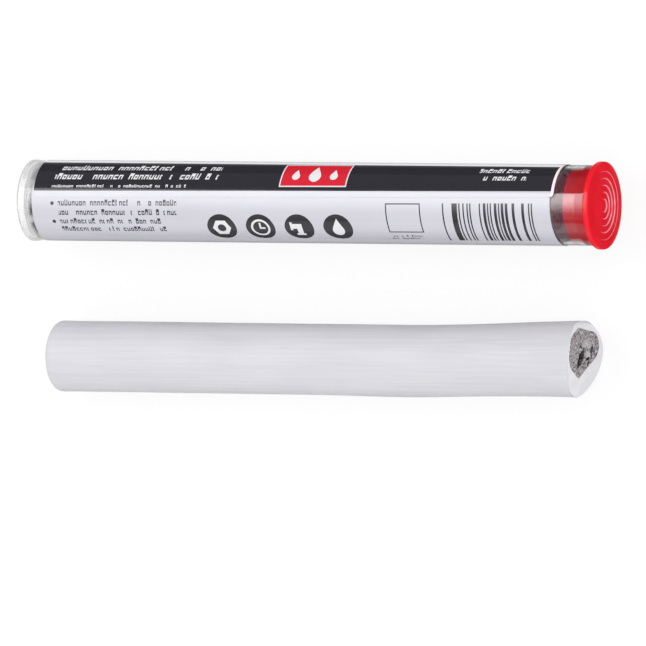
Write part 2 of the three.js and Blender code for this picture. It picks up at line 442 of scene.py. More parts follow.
@dataclass(frozen=True)
class ResinPutty(Finish):
    """Off-white resin putty, smeared with hardener from a given place on; on the packed stick that smeared
    face is mauve, with red light from the cap painted in.
    """

    name: str
    light: Colour = (0.68, 0.675, 0.7)
    dark: Colour = (0.61, 0.605, 0.63)
    speck: Colour = (0.2, 0.19, 0.2)
    overlay_colour: Colour = (0.26, 0.23, 0.245)
    smear_from: float | None = None
    smear_fade: float = 0.1 * MM
    smears: Cloud = Cloud(900.0, 3.0)
    smeared: Range = (0.3, 0.6)
    smear_cover: Range = (0.55, 1.0)
    mottle: Cloud = Cloud(260.0, 5.0)
    speck_scale: float = 330.0
    speck_edge: Range = (0.03, 0.06)
    speck_cover: float = 0.6
    roughness: Range = (0.45, 0.65)
    specular: float = 0.35
    relief: Cloud = Cloud(900.0, 4.0)
    relief_depth: float = 0.06 * MM

    def make(self) -> bpy.types.Material:
        """Build the material.

        Returns:
            The material.
        """
        shader = Shader(self.name)
        mottle = shader.cloud(self.mottle)
        cells = shader.node("ShaderNodeTexVoronoi", {"Vector": shader.place(), "Scale": self.speck_scale})
        colour = shader.mix(shader.spread(mottle, PATCHY, RISING), self.light, self.dark)
        specks = shader.spread(cells.outputs["Distance"], self.speck_edge, (self.speck_cover, 0.0))
        colour = shader.mix(specks, colour, self.speck)
        # On the packed stick the colour laid from here is mauve: red light from the cap painted over the
        # smeared hardener.
        if self.smear_from is not None:
            reach = (self.smear_from - self.smear_fade, self.smear_from)
            ahead = shader.spread(shader.axis("X"), reach, RISING)
            thick = shader.spread(shader.cloud(self.smears), self.smeared, self.smear_cover)
            colour = shader.mix(shader.math("MULTIPLY", ahead, thick), colour, self.overlay_colour)
        shader.set(
            Base_Color=colour,
            Roughness=shader.spread(mottle, EVEN, self.roughness),
            Specular_IOR_Level=self.specular,
        )
        shader.bump(shader.cloud(self.relief), self.relief_depth)
        return shader.material


@dataclass(frozen=True)
class HardenerPutty(Finish):
    """Grey hardener putty, torn to a granular face with pale and dark grains, near-black painted shade in its
    torn pits and paler raised flakes.
    """

    name: str
    mid: Colour = (0.25, 0.228, 0.236)
    pale: Colour = (0.58, 0.55, 0.56)
    dark: Colour = (0.05, 0.042, 0.045)
    patch: Colour = (0.36, 0.33, 0.34)
    # Near-black painted shade for the deep torn pits.
    hollow: Colour = (0.012, 0.011, 0.012)
    flake: Colour = (0.52, 0.5, 0.51)
    grains: Cloud = Cloud(1500.0, 3.0)
    pale_grains: Range = (0.54, 0.68)
    dark_grains: Range = (0.34, 0.46)
    grain_depth: float = 0.3 * MM
    patches: Cloud = Cloud(240.0)
    patched: Range = (0.55, 0.75)
    patch_cover: float = 0.5
    pit_shade_cover: float = 0.9
    flake_cover: float = 0.7
    roughness: Range = (0.9, 0.6)
    specular: float = 0.3

    def make(self) -> bpy.types.Material:
        """Build the material.

        Returns:
            The material.
        """
        shader = Shader(self.name)
        grains = shader.cloud(self.grains)
        patches = shader.spread(shader.cloud(self.patches), self.patched, (0.0, self.patch_cover))
        torn = shader.node("ShaderNodeAttribute", attribute_name=TORN_MARK).outputs["Fac"]
        colour = shader.mix(shader.spread(grains, self.pale_grains, RISING), self.mid, self.pale)
        # By the torn mark, the pits are painted near-black as shade and the raised flakes paler.
        layers = (
            (shader.spread(grains, self.dark_grains, FALLING), self.dark),
            (patches, self.patch),
            (shader.spread(torn, (0.0, TORN_PLAIN), (self.pit_shade_cover, 0.0)), self.hollow),
            (shader.spread(torn, (TORN_PLAIN, 1.0), (0.0, self.flake_cover)), self.flake),
        )
        for mask, tone in layers:
            colour = shader.mix(mask, colour, tone)
        shader.set(
            Base_Color=colour,
            Roughness=shader.spread(grains, EVEN, self.roughness),
            Specular_IOR_Level=self.specular,
        )
        shader.bump(grains, self.grain_depth)
        return shader.material


@dataclass(frozen=True)
class LabelBack(Finish):
    """Plain unprinted back and cut edges of the label."""

    paper: Colour = (0.76, 0.755, 0.79)
    shade: Colour = (0.68, 0.675, 0.71)
    fibres: Cloud = Cloud(700.0, 5.0, 0.4)
    fibre_depth: float = 0.01 * MM
    roughness: Range = (0.5, 0.7)

    def make(self) -> bpy.types.Material:
        """Build the material.

        Returns:
            The material.
        """
        shader = Shader("label_back")
        fibres = shader.cloud(self.fibres)
        shader.set(
            Base_Color=shader.mix(shader.spread(fibres, PATCHY, RISING), self.paper, self.shade),
            Roughness=shader.spread(fibres, EVEN, self.roughness),
        )
        shader.bump(fibres, self.fibre_depth)
        return shader.material


@dataclass(frozen=True)
class Field:
    """A rectangle of the printed sheet: where it lies along the tube and across the sheet, in millimetres."""

    left: float
    right: float
    top: float
    bottom: float

    def grown(self, margin: float) -> "Field":
        """Return the field with a margin added on every side."""
        return Field(self.left - margin, self.right + margin, self.top - margin, self.bottom + margin)


@dataclass(frozen=True)
class MarkForm:
    """Strokes of a letter-sized mark as shares of its cell, and which marks are tall, open, thin or gaps."""

    tall: Range = (0.05, 0.68)
    low: Range = (0.22, 0.68)
    width: Range = (0.05, 0.82)
    eye_height: Range = (0.36, 0.55)
    eye_width: Range = (0.28, 0.6)
    open_foot: Range = (0.36, 0.8)
    open_head: Range = (0.0, 0.55)
    open_side: Range = (0.28, 1.0)
    off_stem: Range = (0.4, 1.0)
    gap_below: float = 0.17
    tall_above: float = 0.72
    foot_kinds: Range = (0.0, 0.3)
    head_kinds: Range = (0.3, 0.5)
    side_kinds: Range = (0.5, 0.7)
    thin_kinds: Range = (0.85, 1.0)
    kind_shift: float = 500.0


@dataclass(frozen=True)
class SmallPrint:
    """Rows of letter-sized marks that say nothing."""

    field: Field
    rows: int
    letter: float
    slant: float = 0.0
    shortest_row: float = 0.7
    form: MarkForm = MarkForm()


class PrintSheet:
    """Artwork drawn by nodes on the label's own map, in millimetres."""

    def __init__(self, shader: Shader, turn: float, ground: Socket) -> None:
        """Start the sheet.

        Args:
            shader: Material that the artwork is drawn in.
            turn: Length of one full turn of the label, in metres.
            ground: Colour of the bare sheet.
        """
        self.shader = shader
        self.colour = ground
        uv = shader.node("ShaderNodeUVMap", uv_map=PRINT_MAP).outputs["UV"]
        parts = shader.node("ShaderNodeSeparateXYZ", {0: uv}).outputs
        self.along = shader.math("MULTIPLY", parts["X"], MM_PER_METRE)
        self.rise = shader.math("MULTIPLY", parts["Y"], MM_PER_METRE)
        self.drop = shader.math("SUBTRACT", turn * MM_PER_METRE, self.rise)

    def paint(self, mask: Socket, ink: Colour) -> None:
        """Lay an ink over the sheet where the mask is 1."""
        self.colour = self.shader.mix(mask, self.colour, ink)

    def span(self, value: object, low: float, high: float) -> Socket:
        """Return 1 where a value lies between two limits."""
        return self.shader.math("COMPARE", value, (low + high) / 2, (high - low) / 2)

    def both(self, *masks: Socket) -> Socket:
        """Join masks to what they have in common.

        Args:
            masks: Masks of 0 and 1.

        Returns:
            1 where all the masks are 1.
        """
        joined = masks[0]
        for mask in masks[1:]:
            joined = self.shader.math("MULTIPLY", joined, mask)
        return joined

    def any(self, *masks: Socket) -> Socket:
        """Join masks to all that they cover.

        Args:
            masks: Masks of 0 and 1.

        Returns:
            1 where any of the masks is 1.
        """
        joined = masks[0]
        for mask in masks[1:]:
            joined = self.shader.math("MAXIMUM", joined, mask)
        return joined

    def without(self, mask: Socket, hole: Socket) -> Socket:
        """Return the mask less a hole."""
        return self.shader.math("SUBTRACT", mask, hole, clamp=True)

    def patch(self, across: Socket, area: Field) -> Socket:
        """Return the mask of a rectangle."""
        return self.both(
            self.span(self.along, area.left, area.right), self.span(across, area.top, area.bottom)
        )

    def offset(self, across: Socket, x: float, y: float) -> tuple[Socket, Socket]:
        """Return the distances from a centre, both without sign."""
        return tuple(
            self.shader.math("ABSOLUTE", self.shader.math("SUBTRACT", value, middle))
            for value, middle in ((self.along, x), (across, y))
        )

    def disc(self, across: Socket, x: float, y: float, radius: float) -> Socket:
        """Return the mask of a disc."""
        sides = [self.shader.math("POWER", side, 2.0) for side in self.offset(across, x, y)]
        return self.shader.math("LESS_THAN", self.shader.math("ADD", *sides), radius**2)

    def diamond(self, across: Socket, x: float, y: float, half: Range) -> Socket:
        """Draw a diamond.

        Args:
            across: The direction across the sheet that is measured in.
            x: Middle along the tube.
            y: Middle across the sheet.
            half: Half width and half height.

        Returns:
            The mask.
        """
        sides = zip(self.offset(across, x, y), half)
        shares = [self.shader.math("DIVIDE", side, reach) for side, reach in sides]
        return self.shader.math("LESS_THAN", self.shader.math("ADD", *shares), 1.0)

    def hexagon(self, across: Socket, x: float, y: float, reach: float) -> Socket:
        """Draw a hexagon.

        Args:
            across: The direction across the sheet that is measured in.
            x: Middle along the tube.
            y: Middle across the sheet.
            reach: Distance from the middle to the flats.

        Returns:
            The mask.
        """
        wide, high = self.offset(across, x, y)
        leans = [
            self.shader.math("MULTIPLY", side, share(math.radians(30.0)))
            for side, share in ((wide, math.cos), (high, math.sin))
        ]
        slope = self.shader.math("ADD", *leans)
        return self.shader.math("LESS_THAN", self.shader.math("MAXIMUM", slope, high), reach)

    def drop_shape(
        self,
        across: Socket,
        x: float,
        y: float,
        radius: float,
        lift: float = 0.55,
        point: Range = (0.87, 1.65),
    ) -> Socket:
        """Return the mask of a drop.

        Args:
            across: The direction in which the drop hangs.
            x: Its middle along the tube.
            y: The middle of its round part across the sheet.
            radius: Radius of its round part.
            lift: How far above that the point's middle lies, as a share of the radius.
            point: Half width and half height of the point, as shares of the radius.

        Returns:
            The mask.
        """
        half = (point[0] * radius, point[1] * radius)
        return self.any(self.disc(across, x, y, radius), self.diamond(across, x, y - lift * radius, half))

    def chance(self, *cells: Socket) -> Socket:
        """Draw lots for cells.

        Args:
            cells: Up to three coordinates, counted in cells.

        Returns:
            A fixed number from 0 to 1 for each whole cell.
        """
        whole = [self.shader.math("FLOOR", cell) for cell in cells]
        vector = self.shader.node("ShaderNodeCombineXYZ", dict(enumerate(whole))).outputs[0]
        noise_node = self.shader.node("ShaderNodeTexWhiteNoise", {"Vector": vector}, noise_dimensions="3D")
        return noise_node.outputs["Value"]

    def small_print(self, across: Socket, marks: SmallPrint) -> Socket:
        """Return the mask of rows of marks, some tall, holed, open or thin, with gaps between the words.

        Args:
            across: The direction in which the rows follow each other.
            marks: The rows.

        Returns:
            The mask.
        """
        shader, area, form = self.shader, marks.field, marks.form
        pitch = (area.bottom - area.top) / marks.rows
        row = shader.math("DIVIDE", shader.math("SUBTRACT", across, area.top), pitch)
        lean = shader.math("MULTIPLY", across, marks.slant)
        cell = shader.math("DIVIDE", shader.math("ADD", self.along, lean), marks.letter)
        luck = self.chance(cell, row)
        height, width = shader.math("FRACT", row), shader.math("FRACT", cell)
        tall = self.both(self.span(height, *form.tall), shader.math("GREATER_THAN", luck, form.tall_above))
        mark = self.both(self.any(tall, self.span(height, *form.low)), self.span(width, *form.width))
        kind = self.chance(shader.math("ADD", cell, form.kind_shift), row)
        inside, level = self.span(width, *form.eye_width), self.span(height, *form.eye_height)
        hole = self.any(
            self.both(level, inside),
            self.both(self.span(height, *form.open_foot), inside, self.span(kind, *form.foot_kinds)),
            self.both(self.span(height, *form.open_head), inside, self.span(kind, *form.head_kinds)),
            self.both(level, self.span(width, *form.open_side), self.span(kind, *form.side_kinds)),
            self.both(self.span(width, *form.off_stem), self.span(kind, *form.thin_kinds)),
        )
        in_word = shader.math("GREATER_THAN", luck, form.gap_below)
        length = area.right - area.left
        ends = (area.left + marks.shortest_row * length, area.right)
        ragged = shader.math("LESS_THAN", self.along, shader.spread(self.chance(row), RISING, ends))
        return self.both(self.patch(across, area), self.without(mark, hole), in_word, ragged)

    def bars(self, across: Socket, area: Field, module: float) -> Socket:
        """Draw a made-up row of thin and thick bars.

        Args:
            across: The direction across the sheet that is measured in.
            area: Field that the bars fill.
            module: Width of the thinnest bar.

        Returns:
            The mask.
        """
        cell = self.shader.math("DIVIDE", self.along, module)
        filled = self.shader.math("GREATER_THAN", self.chance(cell), 0.5)
        return self.both(self.patch(across, area), filled)


@dataclass(frozen=True)
class PrintedLabel(Finish):
    """Gloss-laminated label: a charcoal band along the seam over silvery white, with plain signs and bars,
    and a pinkish unprinted end painted as red light from the cap.
    """

    length: float
    turn: float
    lap_margin: float = 2.0
    band_height: float = 12.3
    band_lean: float = 0.009
    end_margin: float = 0.65
    ground: Colour = (0.53, 0.525, 0.575)
    ground_shade: Colour = (0.505, 0.5, 0.55)
    charcoal: Colour = (0.021, 0.02, 0.026)
    ink: Colour = (0.03, 0.029, 0.035)
    red: Colour = (0.58, 0.012, 0.028)
    white: Colour = (0.68, 0.675, 0.7)
    # Pinkish painted red light from the cap, on the unprinted end beside it.
    red_lit_end: Colour = (0.84, 0.7, 0.76)
    edge_white: Colour = (0.84, 0.83, 0.87)
    band_print: tuple[SmallPrint, ...] = (
        SmallPrint(Field(6.5, 66.0, 2.2, 9.6), 2, 1.75, 0.2, 0.85),
        SmallPrint(Field(6.0, 58.0, 10.2, 11.7), 1, 0.9),
        SmallPrint(Field(150.0, 168.0, 3.2, 9.6), 2, 1.6, 0.2, 0.8),
    )
    front_print: tuple[SmallPrint, ...] = (
        SmallPrint(Field(9.0, 55.0, 0.6, 12.6), 4, 1.25),
        SmallPrint(Field(120.5, 132.5, 13.0, 15.6), 2, 0.85),
    )
    bullets: tuple[float, ...] = (1.9, 7.9)
    bullet_place: float = 7.0
    bullet_radius: float = 0.6
    badge: Field = Field(84.0, 106.0, 1.6, 10.6)
    badge_drops: tuple[Range, ...] = ((-6.4, 1.3), (0.0, 2.0), (6.4, 1.3))
    badge_drop_level: float = 0.62
    sign_start: float = 64.0
    sign_pitch: float = 13.2
    sign_drop: float = 10.2
    sign_radius: float = 4.9
    panel: Field = Field(121.0, 132.0, 2.2, 11.4)
    bars: Field = Field(138.0, 171.0, 1.8, 15.8)
    bar_module: float = 0.46
    line: float = 0.4
    bleed: float = 1.0
    top_strip: float = 5.0
    bare_strip: float = 4.0
    past_end: float = 999.0
    sheen: Cloud = Cloud(90.0, 3.0, 0.4)
    scuffs: Cloud = Cloud(500.0, 4.0, 0.3)
    scuffed: Range = (0.4, 0.75)
    roughness: Range = (0.1, 0.2)
    coat: float = 0.55
    coat_roughness: float = 0.06
    waves: Cloud = Cloud(45.0, 1.0, 0.3)
    wave_depth: float = 0.03 * MM

    def make(self) -> bpy.types.Material:
        """Build the material.

        Returns:
            The material.
        """
        shader = Shader("printed_label")
        sheen = shader.spread(shader.cloud(self.sheen), PATCHY, RISING)
        ground = shader.mix(sheen, self.ground, self.ground_shade)
        sheet = PrintSheet(shader, self.turn, ground)
        self.draw_band(sheet)
        self.draw_front(sheet)
        shader.set(
            Base_Color=sheet.colour,
            Roughness=shader.spread(shader.cloud(self.scuffs), self.scuffed, self.roughness),
            Coat_Weight=self.coat,
            Coat_Roughness=self.coat_roughness,
        )
        shader.bump(shader.cloud(self.waves), self.wave_depth)
        return shader.material

    def draw_band(self, sheet: PrintSheet) -> None:
        """Draw the unprinted end, painted pinkish as red light from the cap, then the charcoal band with its
        rows of marks and a red badge with three drops.

        Args:
            sheet: Sheet that is drawn on.
        """
        printed_end = self.length * MM_PER_METRE - self.end_margin
        top = self.lap_margin + self.band_height
        # Paint the unprinted end beside the cap pinkish, as red light from the cap.
        red_lit_end = Field(printed_end, self.past_end, 0.0, top + self.bare_strip)
        sheet.paint(sheet.patch(sheet.rise, red_lit_end), self.red_lit_end)
        leaned = sheet.shader.math("MULTIPLY_ADD", sheet.along, self.band_lean, sheet.rise)
        above = sheet.both(
            sheet.span(leaned, top, top + self.top_strip), sheet.span(sheet.along, -self.bleed, printed_end)
        )
        sheet.paint(above, self.edge_white)
        band = sheet.patch(sheet.rise, Field(-self.bleed, printed_end, self.lap_margin, top))
        sheet.paint(sheet.without(band, above), self.charcoal)
        down = sheet.shader.math("SUBTRACT", top, sheet.rise)
        for marks in self.band_print:
            sheet.paint(sheet.small_print(down, marks), self.white)
        sheet.paint(sheet.patch(down, self.badge.grown(self.line)), self.white)
        sheet.paint(sheet.patch(down, self.badge), self.red)
        middle = (self.badge.left + self.badge.right) / 2
        low = self.badge.top + self.badge_drop_level * (self.badge.bottom - self.badge.top)
        for place, radius in self.badge_drops:
            sheet.paint(sheet.drop_shape(down, middle + place, low, radius), self.white)

    def draw_front(self, sheet: PrintSheet) -> None:
        """Draw the rows of marks, the four signs, the empty panel and the bars below the band.

        Args:
            sheet: Sheet that is drawn on.
        """
        for marks in self.front_print:
            sheet.paint(sheet.small_print(sheet.drop, marks), self.ink)
        for drop in self.bullets:
            sheet.paint(sheet.disc(sheet.drop, self.bullet_place, drop, self.bullet_radius), self.ink)
        for place, sign in enumerate((self.nut, self.clock, self.pipe, self.water)):
            x = self.sign_start + self.sign_pitch * place
            sheet.paint(sheet.disc(sheet.drop, x, self.sign_drop, self.sign_radius), self.ink)
            sheet.paint(sign(sheet, x, self.sign_drop), self.white)
        frame_line = sheet.patch(sheet.drop, self.panel.grown(self.line))
        sheet.paint(sheet.without(frame_line, sheet.patch(sheet.drop, self.panel)), self.ink)
        sheet.paint(sheet.bars(sheet.drop, self.bars, self.bar_module), self.ink)

    def nut(self, sheet: PrintSheet, x: float, y: float) -> Socket:
        """Return the mask of a nut."""
        return sheet.without(sheet.hexagon(sheet.drop, x, y, 2.7), sheet.disc(sheet.drop, x, y, 1.4))

    def clock(self, sheet: PrintSheet, x: float, y: float) -> Socket:
        """Draw a clock face with two hands.

        Args:
            sheet: Sheet that is drawn on.
            x: Middle of the sign along the tube.
            y: Middle of the sign across the sheet.

        Returns:
            The mask.
        """
        rim = sheet.without(sheet.disc(sheet.drop, x, y, 3.2), sheet.disc(sheet.drop, x, y, 2.5))
        long_hand = sheet.patch(sheet.drop, Field(x - 0.3, x + 0.3, y - 2.0, y + 0.3))
        short_hand = sheet.patch(sheet.drop, Field(x - 0.3, x + 1.6, y - 0.3, y + 0.3))
        return sheet.any(rim, long_hand, short_hand)

    def pipe(self, sheet: PrintSheet, x: float, y: float) -> Socket:
        """Draw a pipe elbow with a collar on each end.

        Args:
            sheet: Sheet that is drawn on.
            x: Middle of the sign along the tube.
            y: Middle of the sign across the sheet.

        Returns:
            The mask.
        """
        level = sheet.patch(sheet.drop, Field(x - 2.6, x + 1.0, y - 1.6, y + 0.2))
        upright = sheet.patch(sheet.drop, Field(x - 0.8, x + 1.0, y - 1.6, y + 2.6))
        side_collar = sheet.patch(sheet.drop, Field(x - 3.0, x - 2.2, y - 2.2, y + 0.8))
        foot_collar = sheet.patch(sheet.drop, Field(x - 1.4, x + 1.6, y + 2.2, y + 3.0))
        return sheet.any(level, upright, side_collar, foot_collar)

    def water(self, sheet: PrintSheet, x: float, y: float) -> Socket:
        """Return the mask of a drop of water."""
        return sheet.drop_shape(sheet.drop, x, y + 0.9, 2.0)


@dataclass(frozen=True)
class StudioFloor(Finish):
    """Matt white floor that shows white, keeps a soft shadow and mirrors dimly behind the set and its cap."""

    paint: Colour = (0.86, 0.86, 0.86)
    mirrored_paint: Colour = (0.07, 0.07, 0.07)
    whiteness: float = 0.85
    back: Range = (45.0 * MM, 65.0 * MM)
    cap_end: Range = (97.0 * MM, 101.0 * MM)

    def make(self) -> bpy.types.Material:
        """Build the material.

        Returns:
            The material.
        """
        shader = Shader("studio_floor")
        straight, mirrored = shader.rays()
        behind = shader.spread(shader.axis("Y"), self.back, RISING)
        beyond = shader.spread(shader.axis("X"), self.cap_end, RISING)
        dim = shader.math("MULTIPLY", mirrored, shader.math("MAXIMUM", behind, beyond))
        colour = shader.mix(dim, self.paint, self.mirrored_paint)
        shader.set(Base_Color=colour, Roughness=0.9, Specular_IOR_Level=0.0)
        glow = shader.node("ShaderNodeEmission", {"Color": (1.0, 1.0, 1.0, 1.0), "Strength": 1.0})
        amount = shader.math("MULTIPLY", straight, shader.spread(dim, RISING, (self.whiteness, 0.0)))
        sources = {0: amount, 1: shader.surface.outputs[0], 2: glow.outputs[0]}
        shader.feed(shader.output.inputs["Surface"], shader.node("ShaderNodeMixShader", sources).outputs[0])
        return shader.material


@dataclass(frozen=True)
class Lay:
    """Where a round piece lies: the middle of its back end and the way its axis runs."""

    start: Vector
    along: Vector

    def matrix(self) -> Matrix:
        """Return the turn and shift that carry a piece built along +X to its place."""
        turn = X_AXIS.rotation_difference(self.along).to_matrix().to_4x4()
        return Matrix.Translation(self.start) @ turn


def spun(outline: Outline, steps: int, closed: bool = False) -> bmesh.types.BMesh:
    """Spin a half outline a full turn about the X axis.

    Args:
        outline: Points as distance along the axis and radius.
        steps: Number of facets round the axis.
        closed: Whether the last point joins the first.

    Returns:
        A mesh with merged seams and poles and outward normals.
    """
    mesh = bmesh.new()
    points = [mesh.verts.new((along, 0.0, radius)) for along, radius in outline]
    ends = points[1:] + points[:1] if closed else points[1:]
    edges = [mesh.edges.new(pair) for pair in zip(points, ends)]
    bmesh.ops.spin(
        mesh,
        geom=points + edges,
        cent=(0.0, 0.0, 0.0),
        axis=X_AXIS,
        angle=math.tau,
        steps=steps,
        use_merge=True,
    )
    bmesh.ops.remove_doubles(mesh, verts=mesh.verts, dist=MERGE_DISTANCE)
    bmesh.ops.recalc_face_normals(mesh, faces=mesh.faces)
    return mesh


def guarded(outline: Outline, margin: float) -> list[Range]:
    """Return an outline with points added near both ends of its long runs, so that only the edges look round.

    Args:
        outline: Points as distance along the axis and radius.
        margin: Distance of the added points from the ends of a run.

    Returns:
        The longer outline.
    """
    points = list(outline[:1])
    for start, end in zip(outline, outline[1:]):
        run = math.dist(start, end)
        shares = (margin / run, 1.0 - margin / run) if run > 3 * margin else ()
        points += [(start[0] + (end[0] - start[0]) * s, start[1] + (end[1] - start[1]) * s) for s in shares]
        points.append(end)
    return points


def round_off(mesh: bmesh.types.BMesh, radius: float, segments: int = 3) -> None:
    """Round every sharp edge of a mesh."""
    sharp = [edge for edge in mesh.edges if edge.is_manifold and edge.calc_face_angle() > ROUNDED_ANGLE]
    bmesh.ops.bevel(
        mesh, geom=sharp, offset=radius, affect="EDGES", segments=segments, profile=0.5, material=-1
    )


def arc(steps: int, turn: float = math.pi / 2) -> list[float]:
    """Return the angles of an arc's points, from 0 to the turn."""
    return [turn * step / steps for step in range(steps + 1)]


def ease(value: float) -> float:
    """Return a smooth step from 0 to 1."""
    held = min(max(value, 0.0), 1.0)
    return held * held * (3.0 - 2.0 * held)


def rough(scale: float, *place: float) -> float:
    """Return noise from -1 to 1 at a place, with the given features a metre."""
    return noise.noise(Vector(place) * scale)


def install(
    mesh: bmesh.types.BMesh,
    name: str,
    lay: Lay,
    finishes: Iterable[Finish],
    body: Body,
    node: str,
) -> None:
    """Make a finished piece of a mesh and put it on its body in place of a node.

    Args:
        mesh: Mesh built along +X from the origin; it is used up.
        name: Name of the piece.
        lay: Where the piece lies.
        finishes: Surfaces, in the order of the faces' indices.
        body: Body that it rides on.
        node: Node that it stands for.
    """
    data = bpy.data.meshes.new(name)
    mesh.to_mesh(data)
    mesh.free()
    data.transform(lay.matrix())
    data.shade_smooth()
    data.set_sharp_from_angle(angle=SHARP_ANGLE)
    for finish in finishes:
        data.materials.append(finish.make())
    piece = bpy.data.objects.new(name, data)
    bpy.context.scene.collection.objects.link(piece)
    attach(piece, body.value)
    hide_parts(node)
    LOG.info("%s: %d faces on %s", name, len(data.polygons), body.value)


@dataclass
class ClearTube:
    """Clear moulded tube, closed at its base by a web set in from a foot ring."""

    lay: Lay
    length: float = 192.55 * MM
    radius: float = 12.4 * MM
    wall: float = 0.9 * MM
    foot_step: float = 0.3 * MM
    foot_wall: float = 1.2 * MM
    foot_recess: float = 1.9 * MM
    foot_land: float = 1.5 * MM
    bare_foot: float = 5.2 * MM
    base_web: float = 0.8 * MM
    edge: float = 0.28 * MM
    guard: float = 0.5 * MM
    steps: int = 144

    def build(self) -> None:
        """Build the moulding and install it."""
        foot = self.foot_recess + self.base_web
        foot_radius = self.radius + self.foot_step
        bore = self.radius - self.wall
        outline = [
            (self.foot_recess, 0.0),
            (self.foot_recess, foot_radius - self.foot_wall),
            (0.0, foot_radius - self.foot_wall),
            (0.0, foot_radius),
            (self.foot_land, foot_radius),
            (foot, self.radius),
            (self.length, self.radius),
            (self.length, bore),
            (foot, bore),
            (foot, 0.0),
        ]
        mesh = spun(guarded(outline, self.guard), self.steps)
        round_off(mesh, self.edge)
        finishes = [ClearPlastic(self.lay.start.x + self.bare_foot)]
        install(mesh, "tube_moulding", self.lay, finishes, Body.TUBE, "clear_tube")


@dataclass
class TubeLabel:
    """Printed sheet rolled slightly askew round the tube, with its lower edge lapped over its upper one."""

    lay: Lay
    tube_radius: float = 12.4 * MM
    gap: float = 0.05 * MM
    thickness: float = 0.08 * MM
    lap: float = 4.0 * MM
    start: float = 5.4 * MM
    length: float = 176.35 * MM
    seam: float = math.radians(7.0)
    skew: float = math.radians(6.0)
    end_cut: float = 0.6 * MM
    corner: float = 1.4 * MM
    ripple: float = 0.015 * MM
    ripple_scale: float = 60.0
    ripple_squeeze: float = 3.0
    ripple_plane: float = 0.05
    print_facing: float = 0.5
    steps_along: int = 110
    steps_round: int = 190

    @property
    def radius(self) -> float:
        """Middle radius of the rolled sheet."""
        return self.tube_radius + self.gap + self.thickness

    @property
    def turn(self) -> float:
        """Length of one full turn."""
        return math.tau * self.radius

    def build(self) -> None:
        """Build the rolled sheet and install it."""
        mesh = bmesh.new()
        bmesh.ops.create_grid(mesh, x_segments=self.steps_along, y_segments=self.steps_round, size=0.5)
        printed = mesh.loops.layers.uv.new(PRINT_MAP)
        for vert in mesh.verts:
            across = (vert.co.y + 0.5) * (self.turn + self.lap)
            vert.co = ((vert.co.x + 0.5) * self.right_end(across), across, 0.0)
        for face in mesh.faces:
            for loop in face.loops:
                loop[printed].uv = loop.vert.co.xy
        for vert in mesh.verts:
            vert.co = self.rolled(vert.co.x, vert.co.y)
        bmesh.ops.recalc_face_normals(mesh, faces=mesh.faces)
        self.thicken(mesh)
        finishes = [PrintedLabel(self.length, self.turn), LabelBack()]
        install(mesh, "wrap_label", self.lay, finishes, Body.TUBE, "tube_label")

    def right_end(self, across: float) -> float:
        """Trim the sheet askew at its right end, with a rounded first corner.

        Args:
            across: Place across the flat sheet.

        Returns:
            The length there.
        """
        askew = self.end_cut * (0.5 - across / self.turn)
        short = max(self.corner - across, 0.0)
        rounding = self.corner - math.sqrt(self.corner**2 - short**2)
        return self.length + askew - rounding

    def rolled(self, along: float, across: float) -> Vector:
        """Roll up a point of the flat sheet.

        Args:
            along: Place along the flat sheet.
            across: Place across it.

        Returns:
            The point's place on the roll.
        """
        slope = self.skew * self.radius / self.length
        angle = self.seam + self.skew * (along / self.length - 0.5) + across / self.radius
        rise = (self.thickness + self.gap) * max(1.0 - across / self.turn, 0.0)
        uneven = rough(self.ripple_scale, along, self.ripple_squeeze * across, self.ripple_plane)
        radius = self.radius + rise + self.ripple * uneven
        shift = slope * (self.turn / 2 - across)
        return Vector((self.start + along + shift, radius * math.sin(angle), radius * math.cos(angle)))

    def thicken(self, mesh: bmesh.types.BMesh) -> None:
        """Give the sheet its thickness and leave only the outer face printed.

        Args:
            mesh: The rolled sheet.
        """
        bmesh.ops.solidify(mesh, geom=mesh.faces[:], thickness=self.thickness)
        for face in mesh.faces:
            middle = face.calc_center_median()
            outward = Vector((0.0, middle.y, middle.z)).normalized()
            face.material_index = 0 if face.normal.dot(outward) > self.print_facing else 1


